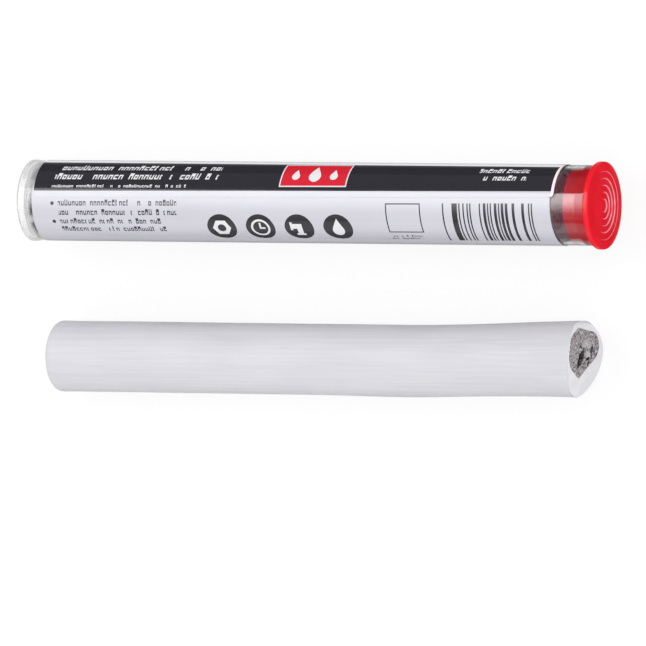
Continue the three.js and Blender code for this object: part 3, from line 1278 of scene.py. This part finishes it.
@dataclass
class EndCap:
    """Red push-in cap: a flange with saw-tooth rings over a hollow plug that is tight in the tube's mouth."""

    lay: Lay
    start: float = 192.6 * MM
    flange_radius: float = 13.6 * MM
    flange_thickness: float = 1.7 * MM
    edge: float = 0.3 * MM
    ring_pitch: float = 2.13 * MM
    ring_wall: float = 0.25 * MM
    ring_depth: float = 0.35 * MM
    rings: int = 5
    outer_ring_share: float = 0.4
    ring_edge: float = 0.05 * MM
    wall_facing: float = 0.45
    rim_steps: int = 4
    guard: float = 0.14 * MM
    plug_radius: float = 11.515 * MM
    plug_length: float = 7.9 * MM
    tight_length: float = 3.2 * MM
    plug_taper: float = 0.2 * MM
    plug_wall: float = 1.2 * MM
    plug_lead: float = 0.6 * MM
    steps: int = 144

    def build(self) -> None:
        """Build the cap and install it."""
        tip = self.plug_radius - self.plug_taper
        outline = [
            (0.0, 0.0),
            (0.0, self.plug_radius - self.plug_wall),
            (-self.plug_length, tip - self.plug_wall),
            (-self.plug_length, tip - self.plug_lead),
            (self.plug_lead - self.plug_length, tip),
            (-self.tight_length, self.plug_radius),
            (0.0, self.plug_radius),
            *self.rim(),
            *self.face(),
            (self.flange_thickness, 0.0),
        ]
        outline = [(self.start + along, radius) for along, radius in outline]
        mesh = spun(guarded(outline, self.guard), self.steps)
        round_off(mesh, self.ring_edge, 2)
        self.mark_rings(mesh)
        # The cap's first finish paints light into the plug: a brighter red, pinker at the tip.
        mouth = self.lay.start.x + self.start
        # The second finish paints a highlight on the ring walls.
        finishes = [CapPlastic(mouth - self.plug_length, mouth), RingHighlight()]
        install(mesh, "push_in_cap", self.lay, finishes, Body.CAP, "end_cap")

    def mark_rings(self, mesh: bmesh.types.BMesh) -> None:
        """Give the second finish, a painted highlight, to the steep walls of the rings, which face the
        middle.

        Args:
            mesh: The cap.
        """
        for face in mesh.faces:
            middle = face.calc_center_median()
            inward = -face.normal.dot(Vector((0.0, middle.y, middle.z)).normalized())
            if middle.x > self.start + self.flange_thickness / 2 and inward > self.wall_facing:
                face.material_index = 1

    def rim(self) -> list[Range]:
        """Round the flange's rim.

        Returns:
            Outline of the rim, from its back to its face.
        """
        middle, edge = self.flange_radius - self.edge, self.edge
        back = [(edge * (1 - math.cos(t)), middle + edge * math.sin(t)) for t in arc(self.rim_steps)]
        return back + [(self.flange_thickness - along, radius) for along, radius in reversed(back)]

    def face(self) -> list[Range]:
        """Shape the rings of the face, each a steep wall and a slow rise.

        Returns:
            Outline of the rings, from the outermost inwards.
        """
        points = []
        for ring in range(self.rings, 0, -1):
            crest = ring * self.ring_pitch
            share = self.outer_ring_share if ring == self.rings else 1.0
            points.append((self.flange_thickness, crest))
            points.append((self.flange_thickness - self.ring_depth * share, crest - self.ring_wall * share))
        return points


@dataclass(frozen=True)
class Dent:
    """A soft hollow pressed into a stick, or a swelling where its depth is below zero."""

    along: float
    angle: float
    depth: float
    length: float
    breadth: float

    def sink(self, along: float, angle: float) -> float:
        """Return how far the surface is pressed in at a place."""
        turn = math.remainder(angle - self.angle, math.tau) / self.breadth
        return self.depth * math.exp(-(((along - self.along) / self.length) ** 2) - turn**2)


@dataclass(frozen=True)
class Pit:
    """A torn hollow in the core's cut face, or a raised flake where its depth is below zero."""

    y: float
    z: float
    half_length: float
    half_width: float
    depth: float
    lean: float
    shade: float = 1.0
    ragged: float = 0.4
    ragged_scale: float = 1300.0
    ragged_plane: float = 0.004
    steepness: float = 2.0
    shade_steepness: float = 3.0
    shade_reach: float = 0.6

    def inside(self, y: float, z: float) -> float:
        """Tell how far inside the hollow a place is.

        Args:
            y: Place on the face, across the stick.
            z: Place on the face, upwards.

        Returns:
            1 in the middle of the ragged hollow, and below zero outside it.
        """
        across, up = z - self.z, y - self.y
        long = up * math.cos(self.lean) + across * math.sin(self.lean)
        wide = across * math.cos(self.lean) - up * math.sin(self.lean)
        reach = (long / self.half_length) ** 2 + (wide / self.half_width) ** 2
        return 1.0 - reach + self.ragged * rough(self.ragged_scale, y, z, self.ragged_plane)

    def sink(self, y: float, z: float) -> float:
        """Return how deep the hollow is at a place."""
        return self.depth * ease(self.steepness * self.inside(y, z))

    def share(self, y: float, z: float) -> float:
        """Return how dark the hollow's painted shade is at a place, below zero where it is a pale flake."""
        return self.shade * ease(self.shade_steepness * self.inside(y, z) + self.shade_reach)


@dataclass(frozen=True)
class Roughness:
    """One layer of a face's unevenness: its share, its features a metre and its plane of the noise."""

    share: float
    scale: float
    plane: float

    def height(self, y: float, z: float) -> float:
        """Return the layer's height at a place of the face."""
        return self.share * rough(self.scale, y, z, self.plane)


@dataclass(frozen=True)
class Lobe:
    """One disc of the core's section."""

    y: float
    z: float
    radius: float


@dataclass
class PuttyStick:
    """A film-wrapped stick of resin putty round an off-centre core of hardener putty."""

    name: str
    body: Body
    lay: Lay
    front: FrontEnd
    film: MilkyFilm
    resin: ResinPutty
    hardener: HardenerPutty
    core_turn: float = 0.0
    dents: tuple[Dent, ...] = ()
    pits: tuple[Pit, ...] = ()
    length: float = 178.0 * MM
    wrapped_radius: float = 11.1 * MM
    film_thickness: float = 0.1 * MM
    film_play: float = 0.05 * MM
    back_radius: float = 2.2 * MM
    wave: float = 0.1 * MM
    wave_scale: float = 45.0
    wave_turns: float = 1.3
    flare: float = 0.85 * MM
    flare_length: float = 60.0 * MM
    flare_lift: float = 1.15 * MM
    crown: float = 2.4 * MM
    crown_reach: float = 12.9 * MM
    crown_offset: float = 2.5 * MM
    slant: float = math.radians(2.2)
    skew: float = 0.18
    film_setback: float = 0.2 * MM
    film_tear: Roughness = Roughness(0.15 * MM, 400.0, 0.002)
    flap: float = 1.4 * MM
    flap_spread: float = 0.35
    front_fade: float = 8.0 * MM
    core_clearance: float = 0.05 * MM
    core_grain: float = 0.3 * MM
    core_grain_sink: float = 0.35
    core_grains: tuple[Roughness, ...] = (
        Roughness(0.5, 700.0, 0.002),
        Roughness(0.45, 1500.0, 0.006),
        Roughness(0.3, 2900.0, 0.003),
    )
    core_grain_fade: float = 12.0
    core_edge: Roughness = Roughness(0.15 * MM, 4.0, 1.7)
    resin_grain: Roughness = Roughness(0.1 * MM, 900.0, 0.005)
    resin_grain_fade: float = 6.0
    steps: int = 176
    core_steps: int = 264
    back_steps: int = 8
    film_rows: int = 150
    film_lanes: int = 6
    resin_rows: int = 80
    resin_lanes: int = 12
    channel_rows: int = 40
    core_rows: int = 40
    core_lanes: int = 60
    core_back_lanes: int = 4
    lane: float = 10.0 * MM
    front_tolerance: float = 1e-3 * MM
    lobes: tuple[Lobe, ...] = (
        Lobe(4.4 * MM, -3.8 * MM, 4.0 * MM),
        Lobe(5.1 * MM, 2.2 * MM, 4.1 * MM),
        Lobe(3.8 * MM, 5.9 * MM, 3.7 * MM),
        Lobe(1.6 * MM, 5.9 * MM, 4.6 * MM),
        Lobe(-4.0 * MM, 3.0 * MM, 0.9 * MM),
    )
    reaches: list[float] = field(default_factory=list)

    @property
    def inset(self) -> float:
        """Depth of the putty's surface below the film's outside."""
        return self.film_thickness + self.film_play

    def build(self) -> None:
        """Build the film, the resin and the core and install them."""
        turns = [math.tau * step / self.steps + self.core_turn for step in range(self.steps)]
        self.reaches = [self.hull_reach(turn) for turn in turns]
        parts = (
            ("film", self.film_mesh(), self.film, Slot.FILM),
            ("resin", self.resin_mesh(), self.resin, Slot.RESIN),
            ("core", self.core_mesh(), self.hardener, Slot.CORE),
        )
        for part, mesh, finish, slot in parts:
            node = f"{self.name}_{part}"
            install(mesh, f"{node}_piece", self.lay, [finish], self.body, node)

    def hull_reach(self, angle: float, tries: int = 240, least_facing: float = 0.05) -> float:
        """Return the core section's radius in a direction, as the hull round its lobes.

        Args:
            angle: The direction, from +Z towards +Y.
            tries: Number of tangents that are tried all round.
            least_facing: How far a tangent's normal has to face the direction.

        Returns:
            The radius.
        """
        reach = math.inf
        for normal in arc(tries, math.tau):
            facing = math.cos(angle - normal)
            if facing > least_facing:
                y, z = math.sin(normal), math.cos(normal)
                reach = min(reach, max(lobe.y * y + lobe.z * z + lobe.radius for lobe in self.lobes) / facing)
        return reach

    def core_radius(self, along: float, angle: float) -> float:
        """Measure the core, which widens with the stick and has a slightly uneven edge.

        Args:
            along: Place along the stick.
            angle: Direction round it, from +Z towards +Y.

        Returns:
            The radius there.
        """
        place = (angle % math.tau) / math.tau * self.steps
        before = int(place) % self.steps
        after = (before + 1) % self.steps
        reach = self.reaches[before] + (self.reaches[after] - self.reaches[before]) * (place - int(place))
        reach += self.core_edge.height(math.sin(angle), math.cos(angle)) - self.core_edge.share / 2
        return reach * self.putty_radius(along, angle) / (self.wrapped_radius - self.inset)

    def channel_radius(self, along: float, angle: float) -> float:
        """Return the radius of the channel in the resin."""
        return self.core_radius(along, angle) + self.core_clearance

    def envelope(self, along: float, angle: float) -> float:
        """Measure the wrapped stick, with its rounded back, waves, flare and dents.

        Args:
            along: Place along the stick.
            angle: Direction round it, from +Z towards +Y.

        Returns:
            The radius there.
        """
        radius = self.wrapped_radius
        if along < self.back_radius:
            short = self.back_radius - max(along, 0.0)
            radius += math.sqrt(max(self.back_radius**2 - short**2, 0.0)) - self.back_radius
        turns = self.wave_turns / self.wave_scale
        ripple = rough(self.wave_scale, along, turns * math.sin(angle), turns * math.cos(angle))
        radius -= self.wave * (0.5 + 0.5 * ripple) * ease(along / (4 * self.back_radius))
        if self.front is FrontEnd.CUT:
            reach = max(0.0, (along - self.length + self.flare_length) / self.flare_length)
            radius += self.flare * reach**2
            radius += self.flare_lift * ease(reach) * math.sin(angle)
        return radius - sum(dent.sink(along, angle) for dent in self.dents)

    def putty_radius(self, along: float, angle: float) -> float:
        """Return the putty's radius at a place."""
        return self.envelope(along, angle) - self.inset

    def front_shift(self, y: float, z: float) -> float:
        """Shape the front face: crowned, slanted and skewed where it is cut.

        Args:
            y: Place on the face, across the stick.
            z: Place on the face, upwards.

        Returns:
            How far the face stands ahead of the stick's length there.
        """
        if self.front is FrontEnd.SQUARE:
            return 0.0
        bend = (self.crown_reach**2 + self.crown**2) / (2 * self.crown)
        crowned = math.sqrt(max(bend**2 - (y - self.crown_offset) ** 2, 0.0)) - bend
        return crowned - z * math.tan(self.slant) + self.skew * y * max(-z, 0.0) / self.crown_reach

    def side(self, count: int) -> list[Range]:
        """Outline the side, from the rounded back edge to the front.

        Args:
            count: Number of rows from the back edge to the front.

        Returns:
            The outline, from back to front.
        """
        back = [self.back_radius * (1 - math.cos(turn)) for turn in arc(self.back_steps)]
        straight = self.length - self.back_radius
        ahead = [self.back_radius + straight * step / count for step in range(1, count + 1)]
        return [(along, 1.0) for along in back + ahead]

    def front_lanes(self, count: int) -> list[Range]:
        """Return the outline of the front face, from its edge to lane 0 in so many lanes."""
        return [(self.length, 1.0 - lane / count) for lane in range(1, count + 1)]

    def shaped(
        self,
        outline: Outline,
        steps: int,
        inner: RadiusAt,
        outer: RadiusAt,
        face: FaceHeight,
        closed: bool = False,
    ) -> bmesh.types.BMesh:
        """Spin an outline of lanes and press it into the stick's form.

        Args:
            outline: Points as distance along the axis and lane, from 0 inside to 1 outside.
            steps: Number of facets round the axis.
            inner: Radius of lane 0 by distance and angle.
            outer: Radius of lane 1 by distance and angle.
            face: Height of the front face's own relief by y, z and lane.
            closed: Whether the outline runs back to its first point round a hollow.

        Returns:
            The shaped mesh.
        """
        hollow = 1.0 if closed else 0.0
        mesh = spun([(along, (lane + hollow) * self.lane) for along, lane in outline], steps, closed)
        for vert in mesh.verts:
            along, angle = vert.co.x, math.atan2(vert.co.y, vert.co.z)
            lane = math.hypot(vert.co.y, vert.co.z) / self.lane - hollow
            bore = inner(along, angle)
            radius = bore + (outer(along, angle) - bore) * lane
            y, z = radius * math.sin(angle), radius * math.cos(angle)
            pushed = ease((along - self.length + self.front_fade) / self.front_fade)
            vert.co = (along + pushed * self.front_shift(y, z), y, z)
            if along > self.length - self.front_tolerance:
                vert.co.x += face(y, z, lane)
        return mesh

    def film_mesh(self) -> bmesh.types.BMesh:
        """Build the wrapping film, open at the front with an uneven lip.

        Returns:
            The mesh.
        """
        back = [(0.0, lane / self.film_lanes) for lane in range(self.film_lanes)]

        def lip(y: float, z: float, lane: float) -> float:
            """Tear the film's edge: set back, but with a flap left at +Y.

            Args:
                y: Place on the face, across the stick.
                z: Place on the face, upwards.
                lane: Lane, from 0 inside to 1 outside; not used.

            Returns:
                How far the edge stands ahead there.
            """
            if self.front is FrontEnd.SQUARE:
                return 0.0
            turn = math.atan2(z, y) / self.flap_spread
            torn = self.film_tear.height(y, z) - self.film_setback
            return torn + self.flap * math.exp(-(turn**2))

        mesh = self.shaped(back + self.side(self.film_rows), self.steps, no_radius, self.envelope, lip)
        bmesh.ops.solidify(mesh, geom=mesh.faces[:], thickness=self.film_thickness)
        return mesh

    def resin_mesh(self) -> bmesh.types.BMesh:
        """Build the resin, a sleeve round the core's channel.

        Returns:
            The mesh.
        """
        front = self.front_lanes(self.resin_lanes)
        rows = range(1, self.channel_rows + 1)
        channel = [(self.length * (1.0 - row / self.channel_rows), 0.0) for row in rows]

        def grain(y: float, z: float, lane: float) -> float:
            """Return the unevenness of the cut resin, which fades towards its edges."""
            return self.resin_grain.height(y, z) * ease(self.resin_grain_fade * min(lane, 1.0 - lane))

        outline = self.side(self.resin_rows) + front + channel
        return self.shaped(outline, self.steps, self.channel_radius, self.putty_radius, grain, closed=True)

    def core_mesh(self) -> bmesh.types.BMesh:
        """Build the core with its granular front face and torn pits.

        Returns:
            The mesh.
        """
        back = [(0.0, lane / self.core_back_lanes) for lane in range(self.core_back_lanes)]

        def torn(y: float, z: float, lane: float) -> float:
            """Roughen the core's face, less towards its edge.

            Args:
                y: Place on the face, across the stick.
                z: Place on the face, upwards.
                lane: Lane, from 0 inside to 1 outside.

            Returns:
                The height there.
            """
            grains = sum(layer.height(y, z) for layer in self.core_grains) - self.core_grain_sink
            relief = self.core_grain * grains - sum(pit.sink(y, z) for pit in self.pits)
            return relief * ease(self.core_grain_fade * (1.0 - lane))

        outline = back + self.side(self.core_rows) + self.front_lanes(self.core_lanes)
        mesh = self.shaped(outline, self.core_steps, no_radius, self.core_radius, torn)
        self.mark_torn(mesh)
        return mesh

    def mark_torn(self, mesh: bmesh.types.BMesh) -> None:
        """Mark the core's points by how torn they are: 0 deep in a pit, 1 on a flake and plain in between;
        the finish paints shade into the pits by this mark.

        Args:
            mesh: The core.
        """
        mark = mesh.verts.layers.float.new(TORN_MARK)
        for vert in mesh.verts:
            at_face = vert.co.x > self.length - self.front_fade
            shares = (pit.share(vert.co.y, vert.co.z) for pit in self.pits) if at_face else ()
            vert[mark] = min(max(TORN_PLAIN * (1.0 - sum(shares)), 0.0), 1.0)


def no_radius(along: float, angle: float) -> float:
    """Return the inner radius of a piece that is filled to its axis."""
    return 0.0


@dataclass
class Studio:
    """White floor, soft light and the camera."""

    view_tilt: float = math.radians(23.92)
    roll: float = math.radians(0.72)
    frame_width: float = 200.98 * MM
    look_across: float = -3.05 * MM
    look_up: float = -13.78 * MM
    camera_distance: float = 5.5
    sensor: float = 36.0
    floor_size: float = 6.0
    light_distance: float = 1.2
    strip_length: float = 0.45
    softbox_top: float = math.radians(34.0)
    softbox_low: float = math.radians(-42.0)
    softbox_strips: int = 12
    softbox_radiance: float = 3.1
    softbox_fall: Range = (0.12, 0.87)
    softbox_fall_depth: float = 0.95
    front_light: Range = (math.radians(-55.0), math.radians(-88.0))
    front_radiance: float = 0.35
    side_way: Vector = field(default_factory=lambda: Vector((0.8, -0.15, 0.58)))
    side_radiance: float = 0.65
    side_size: float = 1.2
    ambient: float = 1.08
    mirrored_room: float = 0.13

    def build(self) -> None:
        """Build the floor, the lights, the world and the camera."""
        bpy.context.scene.view_settings.view_transform = "Standard"
        self.build_floor()
        self.build_world()
        self.build_lights()
        self.build_camera()

    def build_floor(self) -> None:
        """Lay the floor under the set."""
        mesh = bmesh.new()
        bmesh.ops.create_grid(mesh, x_segments=1, y_segments=1, size=self.floor_size / 2)
        data = bpy.data.meshes.new("studio_floor")
        mesh.to_mesh(data)
        mesh.free()
        data.materials.append(StudioFloor().make())
        floor = bpy.data.objects.new("studio_floor", data)
        bpy.context.scene.collection.objects.link(floor)

    def build_world(self) -> None:
        """Give the room an even light: white straight on and through clear plastic, dim in mirrors."""
        world = bpy.data.worlds.new("studio_room")
        world.use_nodes = True
        nodes = NodeSet(world.node_tree)
        background = nodes.tree.nodes["Background"]
        straight, mirrored = nodes.rays()
        level = nodes.spread(straight, RISING, (self.ambient, 1.0))
        strength = nodes.spread(mirrored, RISING, (level, self.mirrored_room))
        nodes.feed(background.inputs["Color"], (1.0, 1.0, 1.0, 1.0))
        nodes.feed(background.inputs["Strength"], strength)
        bpy.context.scene.world = world

    def build_lights(self) -> None:
        """Hang the softbox, which falls off downwards, a low front light and a side light for the ends."""
        span = self.softbox_low - self.softbox_top
        fall_start, fall_end = self.softbox_fall
        for number in range(self.softbox_strips):
            ends = [(number + end) / self.softbox_strips for end in (0, 1)]
            fall = ease((sum(ends) / 2 - fall_start) / (fall_end - fall_start))
            radiance = self.softbox_radiance * (1.0 - self.softbox_fall_depth * fall)
            self.hang_strip(f"softbox_{number}", *(self.softbox_top + span * end for end in ends), radiance)
        self.hang_strip("front_light", *self.front_light, self.front_radiance)
        self.hang("side_light", self.side_way, (self.side_size, self.side_size), self.side_radiance)

    def hang_strip(self, name: str, top: float, low: float, radiance: float) -> None:
        """Hang one strip along the set.

        Args:
            name: Name of the light.
            top: Angle of its upper edge, from overhead towards +Y.
            low: Angle of its lower edge.
            radiance: How bright its face is, where 1 is white.
        """
        middle, flat = (top + low) / 2, math.cos(self.view_tilt)
        height = 2 * self.light_distance * math.tan((top - low) / 2)
        way = Vector((-math.sin(self.view_tilt), flat * math.sin(middle), flat * math.cos(middle)))
        self.hang(name, way, (self.strip_length, height), radiance)

    def hang(self, name: str, way: Vector, size: Range, radiance: float) -> None:
        """Hang one area light that faces the set.

        Args:
            name: Name of the light.
            way: Direction from the set to the light.
            size: Its length along the set and its height.
            radiance: How bright its face is, where 1 is white.
        """
        data = bpy.data.lights.new(name, "AREA")
        data.shape = "RECTANGLE"
        data.size, data.size_y = size
        data.energy = radiance * math.pi * size[0] * size[1]
        light = bpy.data.objects.new(name, data)
        light.matrix_world = self.facing(way.normalized(), X_AXIS, self.light_distance)
        bpy.context.scene.collection.objects.link(light)

    def facing(self, back: Vector, right: Vector, distance: float, target: Vector = Vector()) -> Matrix:
        """Return the placing of a lamp or camera.

        Args:
            back: Unit vector from the target to it.
            right: Rough direction of its right side.
            distance: How far it stands from the target.
            target: Point that it looks at.

        Returns:
            Its matrix.
        """
        level = (right - back * right.dot(back)).normalized()
        turn = Matrix((level, back.cross(level), back)).transposed().to_4x4()
        return Matrix.Translation(target + back * distance) @ turn

    def build_camera(self) -> None:
        """Stand the camera where the set is seen from, with a long lens."""
        back = Vector((math.sin(self.view_tilt), 0.0, math.cos(self.view_tilt)))
        level = Vector((math.cos(self.view_tilt), 0.0, -math.sin(self.view_tilt)))
        target = level * self.look_across + Vector((0.0, self.look_up, 0.0))
        right = level * math.cos(self.roll) + Vector((0.0, math.sin(self.roll), 0.0))
        data = bpy.data.cameras.new("camera")
        data.sensor_width = self.sensor
        data.lens = self.sensor * self.camera_distance / self.frame_width
        data.clip_end = 4 * self.camera_distance
        camera = bpy.data.objects.new("camera", data)
        camera.matrix_world = self.facing(back, right, self.camera_distance, target)
        bpy.context.scene.collection.objects.link(camera)
        bpy.context.scene.camera = camera


def tube_lay() -> Lay:
    """Lay the tube from the foot's mount, along the way that its stick is drawn.

    Returns:
        Where the tube lies.
    """
    foot = next(mount for mount in frame["record"]["mounts"] if mount["name"] == "base_foot")
    draw = next(joint for joint in frame["joints"] if joint["name"] == "stick_draw")
    low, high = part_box("clear_tube")
    start = Vector((foot["pos_m"][0], (low.y + high.y) / 2, foot["pos_m"][2]))
    return Lay(start, Vector(draw["axis"]))


def packed_lay(tube: Lay, start: float = 2.95 * MM, sag: float = 0.3 * MM) -> Lay:
    """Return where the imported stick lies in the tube, low in its bore."""
    return Lay(tube.start + tube.along * start - Vector((0.0, 0.0, sag)), tube.along)


def loose_lay(
    length: float,
    radius: float = PuttyStick.wrapped_radius,
    flare: float = PuttyStick.flare,
    edge: float = PuttyStick.back_radius,
) -> Lay:
    """Lay the loose stick, tilted as its wider front end rests on the floor.

    Args:
        length: Length of the stick.
        radius: Radius of the wrapped stick.
        flare: How much wider its front end is.
        edge: Radius of its back edge.

    Returns:
        Where the stick lies.
    """
    low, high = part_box("loose_stick_resin")
    tilt = math.atan(flare / length)
    height = edge + (radius - edge) * math.cos(tilt) - edge * math.sin(tilt)
    start = Vector((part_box("loose_stick_film")[0].x, (low.y + high.y) / 2, height))
    return Lay(start, Vector((math.cos(tilt), 0.0, math.sin(tilt))))


def packed_stick(tube: Lay) -> PuttyStick:
    """Set up the stick in the tube, gathered at its back end with painted shade in its folds, and with red
    light from the cap painted into its front end.

    Args:
        tube: Where the tube lies.

    Returns:
        The stick.
    """
    lay = packed_lay(tube)
    front = lay.start + lay.along * PuttyStick.length
    # The packed film's gathered back end gets near-black painted shade in its folds.
    film = MilkyFilm("packed_film", end_shade_before=lay.start.x + 4.5 * MM, end_shade_below=lay.start.y)
    # The resin's front face is smeared with hardener and painted mauve with red light from the cap.
    resin = ResinPutty("packed_resin", smear_from=front.x - 0.15 * MM, overlay_colour=(0.64, 0.46, 0.51))
    # The packed core is painted mauve to pink: red light from the cap painted over grey hardener.
    hardener = HardenerPutty(
        "packed_hardener",
        mid=(0.58, 0.17, 0.25),
        pale=(0.74, 0.4, 0.48),
        dark=(0.26, 0.055, 0.085),
        patch=(0.64, 0.3, 0.38),
    )
    return PuttyStick(
        "packed_stick",
        Body.PACKED_STICK,
        lay,
        FrontEnd.SQUARE,
        film,
        resin,
        hardener,
        core_turn=math.radians(45.0),
        back_radius=0.9 * MM,
    )


def loose_stick() -> PuttyStick:
    """Set up the stick beside the tube, with its dents and its torn cut end.

    Returns:
        The stick.
    """
    dents = (
        Dent(63 * MM, math.radians(38.0), 0.3 * MM, 9 * MM, 0.35),
        Dent(137 * MM, math.radians(34.0), 0.35 * MM, 11 * MM, 0.35),
        Dent(119 * MM, math.radians(-90.0), -0.35 * MM, 18 * MM, 0.7),
    )
    pits = (
        Pit(1.2 * MM, 2.7 * MM, 3.4 * MM, 1.4 * MM, 3.0 * MM, -0.72, 0.95),
        Pit(4.2 * MM, -4.7 * MM, 1.1 * MM, 0.7 * MM, 1.6 * MM, -0.3),
        Pit(2.7 * MM, -4.2 * MM, 1.5 * MM, 0.5 * MM, 1.6 * MM, 0.2),
        Pit(1.3 * MM, -1.9 * MM, 0.5 * MM, 1.3 * MM, 1.2 * MM, 0.3),
        Pit(0.1 * MM, -2.7 * MM, 1.2 * MM, 0.5 * MM, 1.4 * MM, -0.3),
        Pit(5.3 * MM, 2.6 * MM, 0.9 * MM, 0.4 * MM, 0.8 * MM, -0.7),
        Pit(2.6 * MM, -1.9 * MM, 1.1 * MM, 1.1 * MM, -0.4 * MM, -0.2, -1.0),
        Pit(5.8 * MM, -1.2 * MM, 1.2 * MM, 3.4 * MM, -0.1 * MM, 0.0, -0.6),
    )
    length = 179.4 * MM
    return PuttyStick(
        "loose_stick",
        Body.LOOSE_STICK,
        loose_lay(length),
        FrontEnd.CUT,
        MilkyFilm("loose_film"),
        ResinPutty("loose_resin"),
        HardenerPutty("loose_hardener"),
        dents=dents,
        pits=pits,
        length=length,
    )


def main() -> None:
    """Build the set and the studio and report each piece."""
    logging.basicConfig(level=logging.INFO, format="%(name)s: %(message)s")
    tube = tube_lay()
    for part in (ClearTube(tube), TubeLabel(tube), EndCap(tube), packed_stick(tube), loose_stick()):
        part.build()
    Studio().build()


if __name__ == "__main__":
    main()
